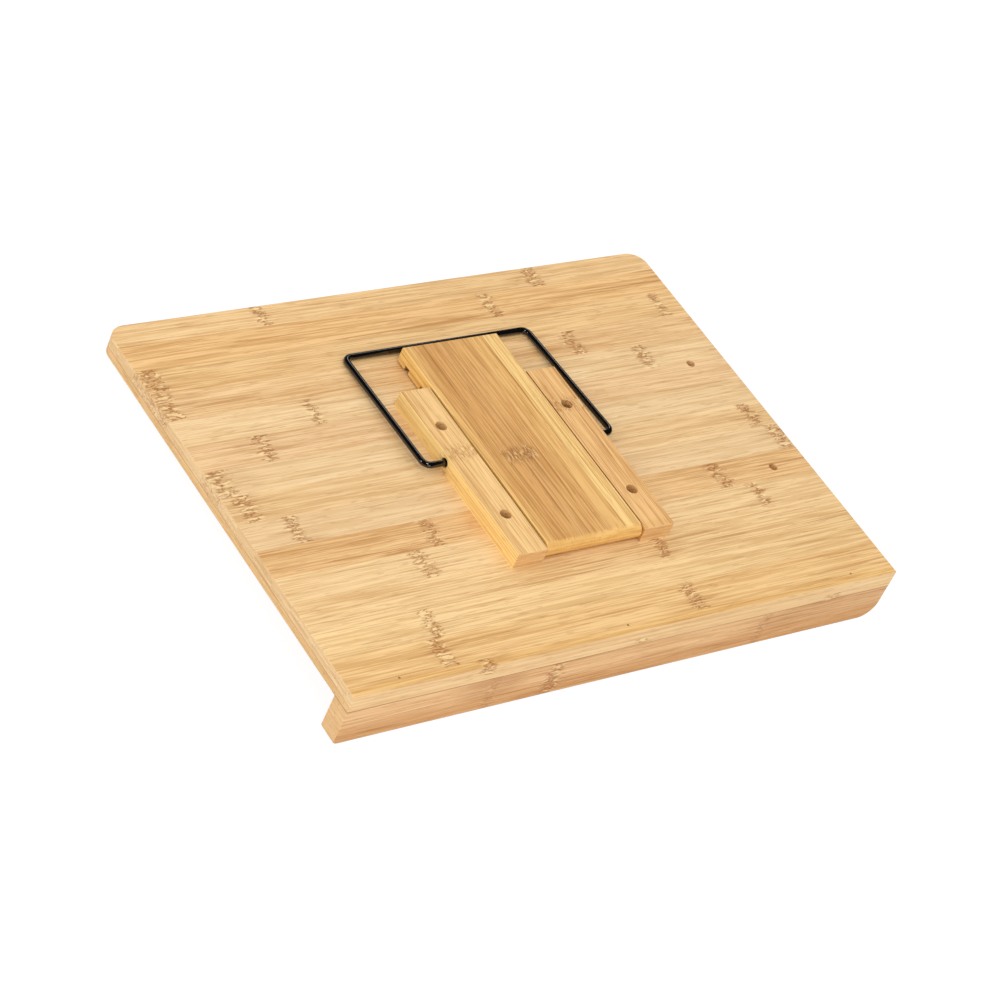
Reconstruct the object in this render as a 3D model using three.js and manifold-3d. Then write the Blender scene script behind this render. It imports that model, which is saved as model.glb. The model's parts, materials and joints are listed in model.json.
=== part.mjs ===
// A folding bamboo reading stand, lying face down with its support folded flat.
// Millimetres. +X runs along the book ledge, +Y from the ledge to the top edge of
// the board and +Z out of the back of the board. The origin is under the middle of
// the outline, level with the free edge of the ledge.
import * as THREE from 'three';
import { mergeVertices } from 'three/addons/utils/BufferGeometryUtils.js';
import Module from 'manifold-3d';

// Reading board: two layers of glued bamboo staves that run along X.
const BOARD_WIDTH = 340;
const BOARD_DEPTH = 248.3;
const BACK_PLY = 6.3;
const FRONT_PLY = 4.3;
const TOP_CORNER_RADIUS = 10;
const STAVE_PITCH = 17.6;
const BACK_FIRST_SEAM = 4.9;
const FRONT_FIRST_SEAM = 13.7;

// Book ledge: two lamellae under the near edge of the board.
const LEDGE_HEIGHT = 21.9;
const LEDGE_OUTER = 6.2;
const LEDGE_INNER = 5.5;
const LEDGE_LEFT_RADIUS = 2.5;
const LEDGE_RIGHT_RADIUS = 10;
const BRAD_X = [-141.4, -5.5, 141.6];
const BRAD_Y = 5.3;
const BRAD_RADIUS = 0.5;
const BRAD_HOLE_RADIUS = 0.65;
const BRAD_SUNK = 0.8;
const BRAD_LENGTH = 24;

// Two plain holes drilled in the back of the board beside its right edge.
const SIDE_HOLE_X = 146.4;
const SIDE_HOLE_Y = [82.6, 162];
const SIDE_HOLE_RADIUS = 2.45;

// Support: two rails screwed to the back, with the foot hinged between them.
const SUPPORT_X = 3.9;
const RAIL_GAP = 61.4;
const RAIL_WIDTH = 18.4;
const RAIL_HEIGHT = 9.4;
const RAIL_START = 52.7;
const RAIL_LENGTH = 115;
const SCREW_INSET = 26.4;
const COUNTERBORE_RADIUS = 3.1;
const COUNTERBORE_DEPTH = 6.2;
const SCREW_HEAD_RADIUS = 2.7;
const SCREW_HEAD_HEIGHT = 1.9;
const SCREW_RADIUS = 1.5;
const SCREW_DEPTH_IN_BOARD = 9;
const SCREW_TIP = 2.5;
const RAIL_SCREW_HOLE_RADIUS = 1.8;
const PILOT_RADIUS = 1.6;
const PILOT_DEPTH = 9.4;

// Foot: a plate with a full-round hinge end and saw grooves across the side that
// faces the board.
const FOOT_WIDTH = 59.6;
const FOOT_THICKNESS = 9.4;
const FOOT_CLEARANCE = 0.5;
const FOOT_START = 53.3;
const FOOT_END = 196.4;
const FOOT_END_EASE = 1;
const GROOVE_COUNT = 5;
const GROOVE_FIRST = 187.55;
const GROOVE_PITCH = 14.95;
const GROOVE_WIDTH = 3.9;
const GROOVE_DEPTH = 3.1;
const PIN_RADIUS = 2;
const PIN_IN_FOOT = 12;
const PIN_IN_RAIL = 8;
const PIN_FOOT_HOLE_RADIUS = 2.1;
const PIN_RAIL_HOLE_RADIUS = 2.25;

// Wire bail: its legs turn loosely in holes in the outer sides of the rails, and it
// lies pushed a little to the left in them.
const WIRE_RADIUS = 1.7;
const BAIL_PIVOT_Y = 121;
const BAIL_PIVOT_HEIGHT = 5.3;
const BAIL_OFFSET = -1.5;
const BAIL_REACH = 81.4;
const BAIL_PIVOT_HALF = 59.1;
const BAIL_BAR_HALF = 58;
const BAIL_BEND_RADIUS = 4;
const BAIL_REST_GAP = 0.3;
const BAIL_LEG_IN_RAIL = 7;
const BAIL_HOLE_RADIUS = 2.5;
const BAIL_HOLE_DEPTH = 9;

// Derived levels and positions.
const NEAR_EDGE = -BOARD_DEPTH / 2;
const FRONT_Z = LEDGE_HEIGHT;
const PLY_Z = FRONT_Z + FRONT_PLY;
const BACK_Z = PLY_Z + BACK_PLY;
const HINGE_Y = NEAR_EDGE + FOOT_START + FOOT_THICKNESS / 2;
const HINGE_Z = BACK_Z + FOOT_CLEARANCE + FOOT_THICKNESS / 2;
const RAIL_TOP = BACK_Z + RAIL_HEIGHT;
const RAIL_CENTRE = (RAIL_GAP + RAIL_WIDTH) / 2;
const SCREW_Y = [SCREW_INSET, RAIL_LENGTH - SCREW_INSET].map(
  (along) => NEAR_EDGE + RAIL_START + along,
);

const bamboo = (color) => new THREE.MeshStandardMaterial({ color, roughness: 0.55, metalness: 0 });
const steel = () => new THREE.MeshStandardMaterial({ color: 0x9b9a96, roughness: 0.4, metalness: 1 });
const darkSteel = () => new THREE.MeshStandardMaterial({ color: 0x2e2c2a, roughness: 0.45, metalness: 1 });
const blackPaint = () => new THREE.MeshStandardMaterial({ color: 0x121212, roughness: 0.25, metalness: 0 });

const wasm = await Module();
wasm.setup();

// Turns a closed geometry into a solid that can be joined and cut.
function toSolid(geometry) {
  const bare = geometry.clone();
  bare.deleteAttribute('normal');
  bare.deleteAttribute('uv');
  const merged = mergeVertices(bare, 1e-4);
  return new wasm.Manifold(new wasm.Mesh({
    numProp: 3,
    vertProperties: new Float32Array(merged.attributes.position.array),
    triVerts: new Uint32Array(merged.index.array),
  }));
}

function toGeometry(solid) {
  const mesh = solid.getMesh();
  const geometry = new THREE.BufferGeometry();
  geometry.setAttribute('position', new THREE.BufferAttribute(new Float32Array(mesh.vertProperties), 3));
  geometry.setIndex(new THREE.BufferAttribute(new Uint32Array(mesh.triVerts), 1));
  geometry.computeVertexNormals();
  return geometry;
}

function cut(geometry, cutters) {
  const solid = cutters.reduce((left, cutter) => left.subtract(toSolid(cutter)), toSolid(geometry));
  return toGeometry(solid);
}

function box(x0, x1, y0, y1, z0, z1) {
  const geometry = new THREE.BoxGeometry(x1 - x0, y1 - y0, z1 - z0);
  return geometry.translate((x0 + x1) / 2, (y0 + y1) / 2, (z0 + z1) / 2);
}

// A round bar or drill along Z, from z0 up to z1.
function uprightCylinder(radius, x, y, z0, z1, sides = 20) {
  const geometry = new THREE.CylinderGeometry(radius, radius, z1 - z0, sides);
  return geometry.rotateX(Math.PI / 2).translate(x, y, (z0 + z1) / 2);
}

// A round bar or drill along X, from x0 to x1.
function crossCylinder(radius, x0, x1, y, z, sides = 20) {
  const geometry = new THREE.CylinderGeometry(radius, radius, x1 - x0, sides);
  return geometry.rotateZ(Math.PI / 2).translate((x0 + x1) / 2, y, z);
}

function addMesh(parent, name, geometry, material) {
  const mesh = new THREE.Mesh(geometry, material);
  mesh.name = name;
  parent.add(mesh);
  return mesh;
}

// Board outline seen from the back, extruded from z0 to z1.
function boardLayer(z0, z1) {
  const half = BOARD_WIDTH / 2;
  const far = NEAR_EDGE + BOARD_DEPTH;
  const radius = TOP_CORNER_RADIUS;
  const outline = new THREE.Shape();
  outline.moveTo(-half, NEAR_EDGE);
  outline.lineTo(half, NEAR_EDGE);
  outline.lineTo(half, far - radius);
  outline.absarc(half - radius, far - radius, radius, 0, Math.PI / 2, false);
  outline.lineTo(-half + radius, far);
  outline.absarc(-half + radius, far - radius, radius, Math.PI / 2, Math.PI, false);
  outline.closePath();
  const geometry = new THREE.ExtrudeGeometry(outline, {
    depth: z1 - z0,
    bevelEnabled: false,
    curveSegments: 8,
  });
  return geometry.translate(0, 0, z0);
}

const boardDrills = [
  ...BRAD_X.map((x) => uprightCylinder(
    BRAD_HOLE_RADIUS, x, NEAR_EDGE + BRAD_Y, BACK_Z - BRAD_SUNK - BRAD_LENGTH - 0.5, BACK_Z + 1, 10,
  )),
  ...SIDE_HOLE_Y.map((y) => uprightCylinder(
    SIDE_HOLE_RADIUS, SIDE_HOLE_X, NEAR_EDGE + y, PLY_Z - 0.5, BACK_Z + 1, 24,
  )),
  ...[-1, 1].flatMap((side) => SCREW_Y.map((y) => uprightCylinder(
    PILOT_RADIUS, SUPPORT_X + side * RAIL_CENTRE, y, BACK_Z - PILOT_DEPTH, BACK_Z + 1, 16,
  ))),
].map(toSolid);

// Saws one layer of the board into its staves and drills them.
function addStaves(parent, prefix, z0, z1, firstSeam, color) {
  const layer = boardDrills.reduce((solid, drill) => solid.subtract(drill), toSolid(boardLayer(z0, z1)));
  const seams = [0];
  for (let y = firstSeam; y < BOARD_DEPTH; y += STAVE_PITCH) {
    seams.push(y);
  }
  seams.push(BOARD_DEPTH);
  for (let i = 0; i + 1 < seams.length; i += 1) {
    const blank = box(
      -BOARD_WIDTH, BOARD_WIDTH, NEAR_EDGE + seams[i], NEAR_EDGE + seams[i + 1], z0 - 1, z1 + 1,
    );
    const name = `${prefix}_${String(i + 1).padStart(2, '0')}`;
    addMesh(parent, name, toGeometry(layer.intersect(toSolid(blank))), bamboo(color));
  }
}

// A ledge lamella: the end outline in X and Z, extruded from y0 to y1.
function ledgeLamella(y0, y1) {
  const half = BOARD_WIDTH / 2;
  const outline = new THREE.Shape();
  outline.moveTo(-half, LEDGE_HEIGHT);
  outline.lineTo(-half, LEDGE_LEFT_RADIUS);
  outline.absarc(
    -half + LEDGE_LEFT_RADIUS, LEDGE_LEFT_RADIUS, LEDGE_LEFT_RADIUS, Math.PI, 1.5 * Math.PI, false,
  );
  outline.lineTo(half - LEDGE_RIGHT_RADIUS, 0);
  outline.absarc(
    half - LEDGE_RIGHT_RADIUS, LEDGE_RIGHT_RADIUS, LEDGE_RIGHT_RADIUS, 1.5 * Math.PI, 2 * Math.PI, false,
  );
  outline.lineTo(half, LEDGE_HEIGHT);
  outline.closePath();
  const geometry = new THREE.ExtrudeGeometry(outline, {
    depth: y1 - y0,
    bevelEnabled: false,
    curveSegments: 8,
  });
  return geometry.rotateX(Math.PI / 2).translate(0, y1, 0);
}

function addLedge(parent) {
  const y0 = NEAR_EDGE;
  const y1 = y0 + LEDGE_OUTER;
  const y2 = y1 + LEDGE_INNER;
  const bradTip = BACK_Z - BRAD_SUNK - BRAD_LENGTH;
  const drills = BRAD_X.map((x) => uprightCylinder(
    BRAD_HOLE_RADIUS, x, NEAR_EDGE + BRAD_Y, bradTip - 0.5, FRONT_Z + 1, 10,
  ));
  addMesh(parent, 'ledge_outer_lamella', cut(ledgeLamella(y0, y1), drills), bamboo(0xe0b983));
  addMesh(parent, 'ledge_inner_lamella', ledgeLamella(y1, y2), bamboo(0xdcb57f));
  const profile = [
    new THREE.Vector2(0, 0),
    new THREE.Vector2(BRAD_RADIUS, 1.5),
    new THREE.Vector2(BRAD_RADIUS, BRAD_LENGTH),
    new THREE.Vector2(0, BRAD_LENGTH),
  ];
  BRAD_X.forEach((x, i) => {
    const brad = new THREE.LatheGeometry(profile, 10).rotateX(Math.PI / 2);
    const mesh = addMesh(parent, `ledge_brad_${i + 1}`, brad, steel());
    mesh.position.set(x, NEAR_EDGE + BRAD_Y, bradTip);
  });
}

// One rail: side is -1 on the left of the foot and +1 on its right.
function rail(side) {
  const inner = SUPPORT_X + side * RAIL_GAP / 2;
  const outer = inner + side * RAIL_WIDTH;
  const centre = (inner + outer) / 2;
  const y0 = NEAR_EDGE + RAIL_START;
  const blank = box(
    Math.min(inner, outer), Math.max(inner, outer), y0, y0 + RAIL_LENGTH, BACK_Z, RAIL_TOP,
  );
  const pinEnds = [inner - side, inner + side * (PIN_IN_RAIL + 1)].sort((a, b) => a - b);
  const bailEnds = [outer + side, outer - side * BAIL_HOLE_DEPTH].sort((a, b) => a - b);
  return cut(blank, [
    ...SCREW_Y.map((y) => uprightCylinder(
      COUNTERBORE_RADIUS, centre, y, RAIL_TOP - COUNTERBORE_DEPTH, RAIL_TOP + 1, 28,
    )),
    ...SCREW_Y.map((y) => uprightCylinder(
      RAIL_SCREW_HOLE_RADIUS, centre, y, BACK_Z - 1, RAIL_TOP, 16,
    )),
    crossCylinder(PIN_RAIL_HOLE_RADIUS, pinEnds[0], pinEnds[1], HINGE_Y, HINGE_Z),
    crossCylinder(
      BAIL_HOLE_RADIUS, bailEnds[0], bailEnds[1], NEAR_EDGE + BAIL_PIVOT_Y, BACK_Z + BAIL_PIVOT_HEIGHT, 24,
    ),
  ]);
}

// A pan-headed wood screw, its point at z = 0, with a cross recess in the head.
function railScrew() {
  const shank = SCREW_DEPTH_IN_BOARD + RAIL_HEIGHT - COUNTERBORE_DEPTH;
  const top = shank + SCREW_HEAD_HEIGHT;
  const profile = [
    new THREE.Vector2(0, 0),
    new THREE.Vector2(SCREW_RADIUS, SCREW_TIP),
    new THREE.Vector2(SCREW_RADIUS, shank),
    new THREE.Vector2(SCREW_HEAD_RADIUS, shank),
    new THREE.Vector2(SCREW_HEAD_RADIUS, top - 0.7),
    new THREE.Vector2(SCREW_HEAD_RADIUS * 0.75, top),
    new THREE.Vector2(0, top),
  ];
  const body = new THREE.LatheGeometry(profile, 20).rotateX(Math.PI / 2);
  const arm = 1.5;
  const slot = 0.35;
  return cut(body, [
    box(-arm, arm, -slot, slot, top - 1.1, top + 1),
    box(-slot, slot, -arm, arm, top - 1.1, top + 1),
  ]);
}

function addRails(parent) {
  addMesh(parent, 'rail_left', rail(-1), bamboo(0xe3bb80));
  addMesh(parent, 'rail_right', rail(1), bamboo(0xdcb077));
  let count = 0;
  for (const side of [-1, 1]) {
    for (const y of SCREW_Y) {
      count += 1;
      const screw = addMesh(parent, `rail_screw_${count}`, railScrew(), darkSteel());
      screw.position.set(SUPPORT_X + side * RAIL_CENTRE, y, BACK_Z - SCREW_DEPTH_IN_BOARD);
    }
  }
}

// Side outline of the foot: u runs from the hinge to the free end and v is the
// height above the hinge. The plate is this outline extruded across its width.
function footPlate() {
  const half = FOOT_THICKNESS / 2;
  const end = FOOT_END - FOOT_START - half;
  const ease = FOOT_END_EASE;
  const outline = new THREE.Shape();
  outline.absarc(0, 0, half, 0.5 * Math.PI, 1.5 * Math.PI, false);
  for (let i = GROOVE_COUNT - 1; i >= 0; i -= 1) {
    const centre = GROOVE_FIRST - i * GROOVE_PITCH - FOOT_START - half;
    const near = centre - GROOVE_WIDTH / 2;
    const far = centre + GROOVE_WIDTH / 2;
    outline.lineTo(near, -half);
    outline.lineTo(near, -half + GROOVE_DEPTH);
    outline.lineTo(far, -half + GROOVE_DEPTH);
    outline.lineTo(far, -half);
  }
  outline.lineTo(end - ease, -half);
  outline.lineTo(end, -half + ease);
  outline.lineTo(end, half - ease);
  outline.lineTo(end - ease, half);
  outline.closePath();
  const plate = new THREE.ExtrudeGeometry(outline, {
    depth: FOOT_WIDTH,
    bevelEnabled: false,
    curveSegments: 12,
  });
  plate.rotateX(Math.PI / 2).rotateZ(Math.PI / 2).translate(-FOOT_WIDTH / 2, 0, 0);
  const side = FOOT_WIDTH / 2;
  return cut(plate, [
    crossCylinder(PIN_FOOT_HOLE_RADIUS, -side - 1, -side + PIN_IN_FOOT + 0.5, 0, 0),
    crossCylinder(PIN_FOOT_HOLE_RADIUS, side - PIN_IN_FOOT - 0.5, side + 1, 0, 0),
  ]);
}

function makeFoot() {
  const foot = new THREE.Group();
  foot.position.set(SUPPORT_X, HINGE_Y, HINGE_Z);
  addMesh(foot, 'foot_plate', footPlate(), bamboo(0xd9a661));
  const reach = RAIL_GAP / 2 + PIN_IN_RAIL;
  const root = FOOT_WIDTH / 2 - PIN_IN_FOOT;
  addMesh(foot, 'foot_pin_left', crossCylinder(PIN_RADIUS, -reach, -root, 0, 0), steel());
  addMesh(foot, 'foot_pin_right', crossCylinder(PIN_RADIUS, root, reach, 0, 0), steel());
  return foot;
}

// A path through the given points, with one step from each point to the next.
class StepPath extends THREE.Curve {
  constructor(points) {
    super();
    this.points = points;
  }

  getPoint(t, target = new THREE.Vector3()) {
    const along = t * (this.points.length - 1);
    const i = Math.min(Math.floor(along), this.points.length - 2);
    return target.lerpVectors(this.points[i], this.points[i + 1], along - i);
  }

  getUtoTmapping(u) {
    return u;
  }
}

// Replaces each inner corner of a polyline with an arc of the given radius.
function roundCorners(corners, radius, steps) {
  const points = [corners[0]];
  for (let i = 1; i + 1 < corners.length; i += 1) {
    const before = corners[i - 1].clone().sub(corners[i]).normalize();
    const after = corners[i + 1].clone().sub(corners[i]).normalize();
    const halfAngle = before.angleTo(after) / 2;
    const toCentre = before.clone().add(after).normalize();
    const centre = corners[i].clone().addScaledVector(toCentre, radius / Math.sin(halfAngle));
    const start = corners[i].clone().addScaledVector(before, radius / Math.tan(halfAngle)).sub(centre);
    const end = corners[i].clone().addScaledVector(after, radius / Math.tan(halfAngle)).sub(centre);
    const turn = start.angleTo(end);
    for (let k = 0; k <= steps; k += 1) {
      const a = Math.sin(turn * (1 - k / steps)) / Math.sin(turn);
      const b = Math.sin(turn * (k / steps)) / Math.sin(turn);
      points.push(centre.clone().addScaledVector(start, a).addScaledVector(end, b));
    }
  }
  points.push(corners[corners.length - 1]);
  return points;
}

function makeBail() {
  const drop = BAIL_PIVOT_HEIGHT - WIRE_RADIUS - BAIL_REST_GAP;
  const length = Math.hypot(BAIL_REACH, drop);
  const legEnd = RAIL_GAP / 2 + RAIL_WIDTH - BAIL_LEG_IN_RAIL;
  const path = new StepPath(roundCorners([
    new THREE.Vector3(-legEnd, 0, 0),
    new THREE.Vector3(-BAIL_PIVOT_HALF, 0, 0),
    new THREE.Vector3(-BAIL_BAR_HALF, length, 0),
    new THREE.Vector3(BAIL_BAR_HALF, length, 0),
    new THREE.Vector3(BAIL_PIVOT_HALF, 0, 0),
    new THREE.Vector3(legEnd, 0, 0),
  ], BAIL_BEND_RADIUS, 6));
  const section = new THREE.Shape();
  section.absarc(0, 0, WIRE_RADIUS, 0, 2 * Math.PI, false);
  const wire = new THREE.ExtrudeGeometry(section, {
    steps: path.points.length - 1,
    curveSegments: 12,
    bevelEnabled: false,
    extrudePath: path,
  });
  const bail = new THREE.Group();
  bail.position.set(SUPPORT_X + BAIL_OFFSET, NEAR_EDGE + BAIL_PIVOT_Y, BACK_Z + BAIL_PIVOT_HEIGHT);
  bail.rotation.x = -Math.asin(drop / length);
  addMesh(bail, 'wire_bail', wire, blackPaint());
  return bail;
}

const group = new THREE.Group();
group.name = 'reading_stand';
const base = new THREE.Group();
addStaves(base, 'front_stave', FRONT_Z, PLY_Z, FRONT_FIRST_SEAM, 0xe0bb84);
addStaves(base, 'back_stave', PLY_Z, BACK_Z, BACK_FIRST_SEAM, 0xe6c088);
addLedge(base);
addRails(base);
group.add(base, makeFoot(), makeBail());

export default group;
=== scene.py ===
"""Looks of a folding bamboo reading stand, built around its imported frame.

Metres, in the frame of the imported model: +X runs along the book ledge, +Y from the
ledge to the top edge of the board, and +Z out of the back of the board.
"""

import json
import logging
import math
import random
from collections.abc import Callable, Iterable, Sequence
from dataclasses import dataclass, field
from enum import Enum

import bmesh
import bpy
from mathutils import Matrix, Vector


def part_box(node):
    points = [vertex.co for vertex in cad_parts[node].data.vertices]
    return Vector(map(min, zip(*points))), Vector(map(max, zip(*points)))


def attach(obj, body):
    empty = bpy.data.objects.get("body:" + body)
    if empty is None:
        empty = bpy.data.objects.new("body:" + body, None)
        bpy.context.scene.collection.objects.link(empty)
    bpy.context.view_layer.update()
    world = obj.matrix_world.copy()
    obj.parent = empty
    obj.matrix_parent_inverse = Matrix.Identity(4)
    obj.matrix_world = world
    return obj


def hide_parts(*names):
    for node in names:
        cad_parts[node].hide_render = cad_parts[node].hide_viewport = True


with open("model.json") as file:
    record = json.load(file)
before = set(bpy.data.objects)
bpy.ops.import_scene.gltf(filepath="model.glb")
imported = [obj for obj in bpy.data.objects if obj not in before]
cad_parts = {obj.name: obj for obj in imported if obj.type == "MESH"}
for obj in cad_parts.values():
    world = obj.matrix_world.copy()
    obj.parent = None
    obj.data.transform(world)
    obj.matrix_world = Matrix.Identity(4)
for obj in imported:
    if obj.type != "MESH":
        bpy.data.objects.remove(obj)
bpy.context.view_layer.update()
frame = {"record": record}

LOG = logging.getLogger("reading_stand")
MM = 0.001
HAIR = 1e-6
Colour = tuple[int, int, int]
Socket = bpy.types.NodeSocket


# ---------------------------------------------------------------- bench tools


def node_box(name: str) -> tuple[Vector, Vector]:
    """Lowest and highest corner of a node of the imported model."""
    low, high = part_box(name)
    return Vector(low), Vector(high)


def joint_pivot(name: str) -> Vector:
    """The point in the frame that a joint turns about.

    Args:
        name: The joint's name in the record.

    Returns:
        The pivot in metres.
    """
    joints = frame["record"]["behaviour"]["joints"]
    return Vector(next(j["pos_m"] for j in joints if j["name"] == name))


def middle_of(name: str) -> Vector:
    """The middle of a node's box."""
    low, high = node_box(name)
    return (low + high) / 2


def round_edges(
    bm: bmesh.types.BMesh, edges: Iterable[bmesh.types.BMEdge], offset: float, segments: int = 3
) -> None:
    """Rounds edges of a mesh.

    Args:
        bm: The mesh.
        edges: The edges to be rounded.
        offset: How far the round reaches over each face.
        segments: Number of faces across the round.
    """
    bmesh.ops.bevel(
        bm, geom=list(edges), offset=offset, offset_type="OFFSET", segments=segments,
        profile=0.5, affect="EDGES", material=-1, clamp_overlap=True,
    )


class Workpiece:
    """A mesh on the bench, cut to shape step by step."""

    def __init__(self) -> None:
        """Starts with nothing on the bench."""
        self.bm = bmesh.new()

    @classmethod
    def block(cls, low: Vector, high: Vector) -> "Workpiece":
        """Squares up a block of stock.

        Args:
            low: Lowest corner.
            high: Highest corner.

        Returns:
            The block.
        """
        piece = cls()
        size = high - low
        place = Matrix.Translation((low + high) / 2) @ Matrix.Diagonal((*size, 1.0))
        bmesh.ops.create_cube(piece.bm, size=1.0, matrix=place)
        return piece

    @classmethod
    def turned(cls, profile: Sequence[tuple[float, float]], steps: int = 32) -> "Workpiece":
        """Turns a profile about +Z, as on a lathe.

        Args:
            profile: Radius and height of each step, both ends on the axis.
            steps: Number of faces round the turning.

        Returns:
            The closed turning, with its axis on the frame's origin.
        """
        piece = cls()
        bm = piece.bm
        verts = [bm.verts.new((radius, 0.0, height)) for radius, height in profile]
        edges = [bm.edges.new(pair) for pair in zip(verts, verts[1:])]
        bmesh.ops.spin(
            bm, geom=[*verts, *edges], cent=(0, 0, 0), axis=(0, 0, 1), dvec=(0, 0, 0),
            angle=2 * math.pi, steps=steps, use_merge=True, use_duplicate=False,
        )
        bmesh.ops.remove_doubles(bm, verts=bm.verts[:], dist=1e-7)
        bmesh.ops.recalc_face_normals(bm, faces=bm.faces[:])
        return piece

    def copy(self) -> "Workpiece":
        """A second piece of the same shape."""
        twin = Workpiece()
        twin.bm = self.bm.copy()
        return twin

    def ease(
        self, test: Callable[[Vector], bool], offset: float, segments: int = 3
    ) -> "Workpiece":
        """Rounds the edges that have both ends where the test holds.

        Args:
            test: Tells whether a corner belongs to the edges to be rounded.
            offset: How far the round reaches over each face.
            segments: Number of faces across the round.

        Returns:
            The same piece.
        """
        rims = [
            e for e in self.bm.edges
            if all(test(v.co) for v in e.verts) and e.calc_face_angle(0.0) > 0.3
        ]
        round_edges(self.bm, rims, offset, segments)
        return self

    def saw(self, at: Vector, normal: Vector) -> "Workpiece":
        """Saws off what lies on the normal's side of a plane and closes the cut.

        Args:
            at: A point on the saw cut.
            normal: Direction of the waste side.

        Returns:
            The same piece.
        """
        bm = self.bm
        cut = bmesh.ops.bisect_plane(
            bm, geom=[*bm.verts, *bm.edges, *bm.faces], dist=1e-7,
            plane_co=at, plane_no=normal, clear_outer=True, clear_inner=False,
        )
        rim = [e for e in cut["geom_cut"] if isinstance(e, bmesh.types.BMEdge)]
        bmesh.ops.edgeloop_fill(bm, edges=rim)
        bmesh.ops.recalc_face_normals(bm, faces=bm.faces[:])
        return self

    def place(self, matrix: Matrix) -> "Workpiece":
        """Moves the piece to its place in the frame."""
        bmesh.ops.transform(self.bm, matrix=matrix, verts=self.bm.verts[:])
        return self

    def to_object(self, name: str) -> bpy.types.Object:
        """Takes the piece off the bench as an object at the origin.

        Args:
            name: The object's name.

        Returns:
            The new object.
        """
        mesh = bpy.data.meshes.new(name)
        self.bm.to_mesh(mesh)
        self.bm.free()
        made = bpy.data.objects.new(name, mesh)
        bpy.context.scene.collection.objects.link(made)
        return made


def drill(piece: bpy.types.Object, bits: Iterable[Workpiece]) -> bpy.types.Object:
    """Cuts the shapes of drills and cutters out of a piece.

    Args:
        piece: The piece to be cut.
        bits: Closed shapes in their places; the ones that miss the piece are left out.

    Returns:
        The same object with its cut mesh.
    """
    corners = [Vector(c) for c in piece.bound_box]
    low = Vector(min(c[i] for c in corners) for i in range(3))
    high = Vector(max(c[i] for c in corners) for i in range(3))
    cutters = []
    for number, bit in enumerate(bits):
        points = [v.co for v in bit.bm.verts]
        if all(
            min(p[i] for p in points) < high[i] and max(p[i] for p in points) > low[i]
            for i in range(3)
        ):
            cutter = bit.copy().to_object(f"cutter_{number}")
            modifier = piece.modifiers.new("cut", "BOOLEAN")
            modifier.operation, modifier.solver, modifier.object = "DIFFERENCE", "EXACT", cutter
            cutters.append(cutter)
    if cutters:
        bpy.context.view_layer.update()
        done = piece.evaluated_get(bpy.context.evaluated_depsgraph_get())
        mesh = bpy.data.meshes.new_from_object(done)
        piece.modifiers.clear()
        piece.data = mesh
        for cutter in cutters:
            bpy.data.objects.remove(cutter)
    return piece


def finish_shading(piece: bpy.types.Object, crease: float = 35.0) -> None:
    """Smooths the rounds of a piece and keeps its flats flat.

    Args:
        piece: The piece.
        crease: Angle in degrees above which an edge stays sharp.
    """
    piece.data.shade_smooth()
    piece.data.set_sharp_from_angle(angle=math.radians(crease))
    weighted = piece.modifiers.new("even_flats", "WEIGHTED_NORMAL")
    weighted.keep_sharp = True
    weighted.weight = 90


def fit(
    piece: bpy.types.Object, body: str, node: str, material: bpy.types.Material
) -> None:
    """Dresses a piece, puts it on its body and lets it stand for its node.

    Args:
        piece: The finished piece.
        body: The body that it moves with.
        node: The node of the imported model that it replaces.
        material: Its finish.
    """
    piece.data.materials.clear()
    piece.data.materials.append(material)
    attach(piece, body)
    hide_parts(node)
    LOG.info("%s rides on %s", piece.name, body)


# -------------------------------------------------------------------- finishes


def linear(colour: Colour) -> tuple[float, float, float, float]:
    """A screen colour, 0 to 255, as the light values that shaders use."""
    return (*(((c / 255 + 0.055) / 1.055) ** 2.4 if c > 10 else c / 3294 for c in colour), 1.0)


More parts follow.
